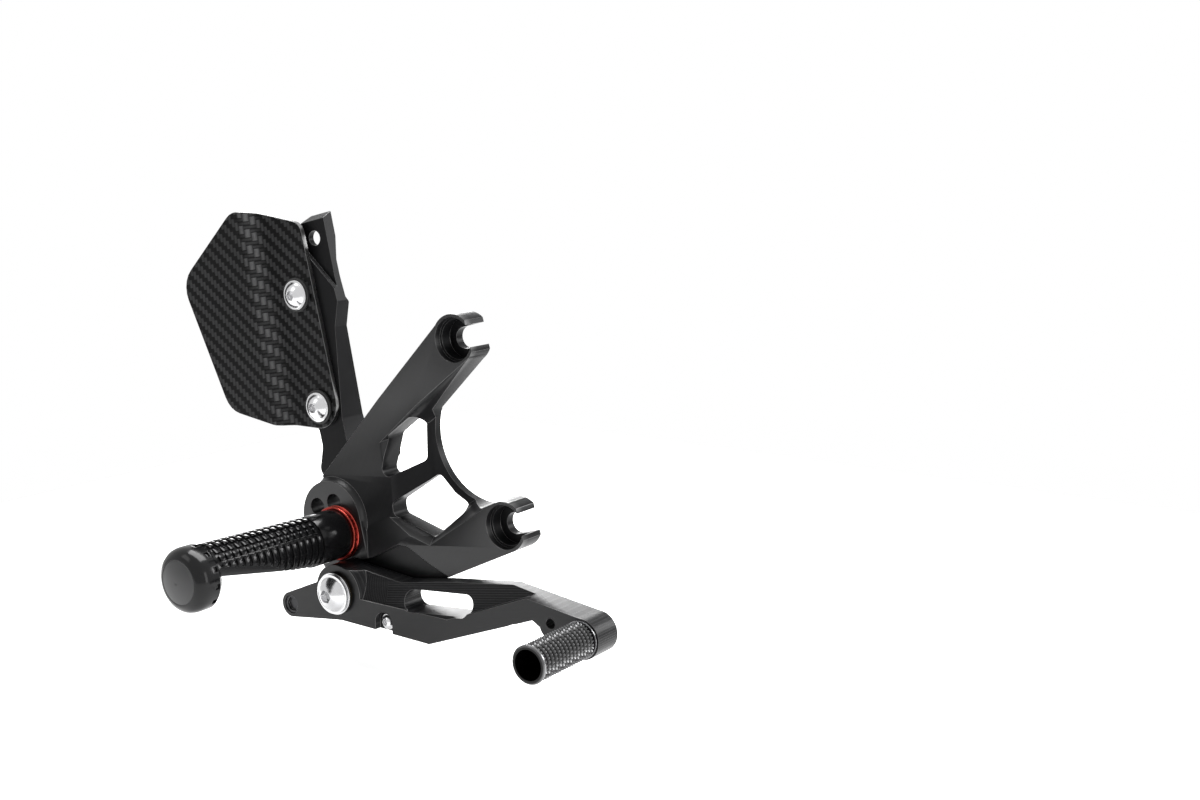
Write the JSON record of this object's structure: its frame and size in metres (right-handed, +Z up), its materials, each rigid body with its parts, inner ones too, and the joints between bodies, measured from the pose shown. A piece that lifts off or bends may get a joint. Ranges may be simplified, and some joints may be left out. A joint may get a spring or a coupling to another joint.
{
  "type": "motorcycle rear set footrest",
  "caption": "Brake-side rear set for a motorcycle: milled plate with frame hooks, fixed ribbed foot peg, carbon heel guard, cylinder bracket and a brake lever that turns on a bolt",
  "frame": {"origin": "Centre of the lower frame bolt on the back face of the base plate", "axes": "+X forward on the motorcycle, +Z up, the rider's side is -Y and the frame is on the +Y side"},
  "size_m": [0.2396, 0.1162, 0.177],
  "materials": {
    "black_anodised": "black anodised, milled, with bright broken edges",
    "red_anodised": "red anodised, turned",
    "carbon": "clear-coated twill weave of carbon fibre",
    "stainless": "bright stainless steel",
    "dark_steel": "black oxide steel",
    "bronze": "plain bearing bronze",
    "black_washer": "matt black nylon",
    "cap": "satin dark grey"
  },
  "bodies": {
    "plate": {"base_plate": "black_anodised", "cylinder_bracket": "black_anodised", "bracket_bolts": "dark_steel", "heel_guard": "carbon", "guard_washers": "black_washer", "guard_bolts": "stainless", "foot_peg": "black_anodised", "peg_end_cap": "cap", "peg_spacer_ring": "red_anodised", "peg_washer": "stainless", "peg_bolt": "stainless", "pivot_sleeve": "stainless", "pivot_washer": "stainless", "pivot_bolt": "stainless"},
    "lever": {"brake_lever": "black_anodised", "lever_bush_inner": "bronze", "lever_bush_outer": "bronze", "toe_peg": "black_anodised", "toe_peg_bolt": "dark_steel", "clevis_pin": "dark_steel", "lever_stop_screw": "stainless"}
  },
  "joints": [
    {"name": "lever_pivot", "type": "hinge", "parent": "plate", "child": "lever", "pos_m": [-0.0827, -0.0165, -0.0392], "axis": [0, 1, 0], "range_deg": [0, 12]}
  ]
}
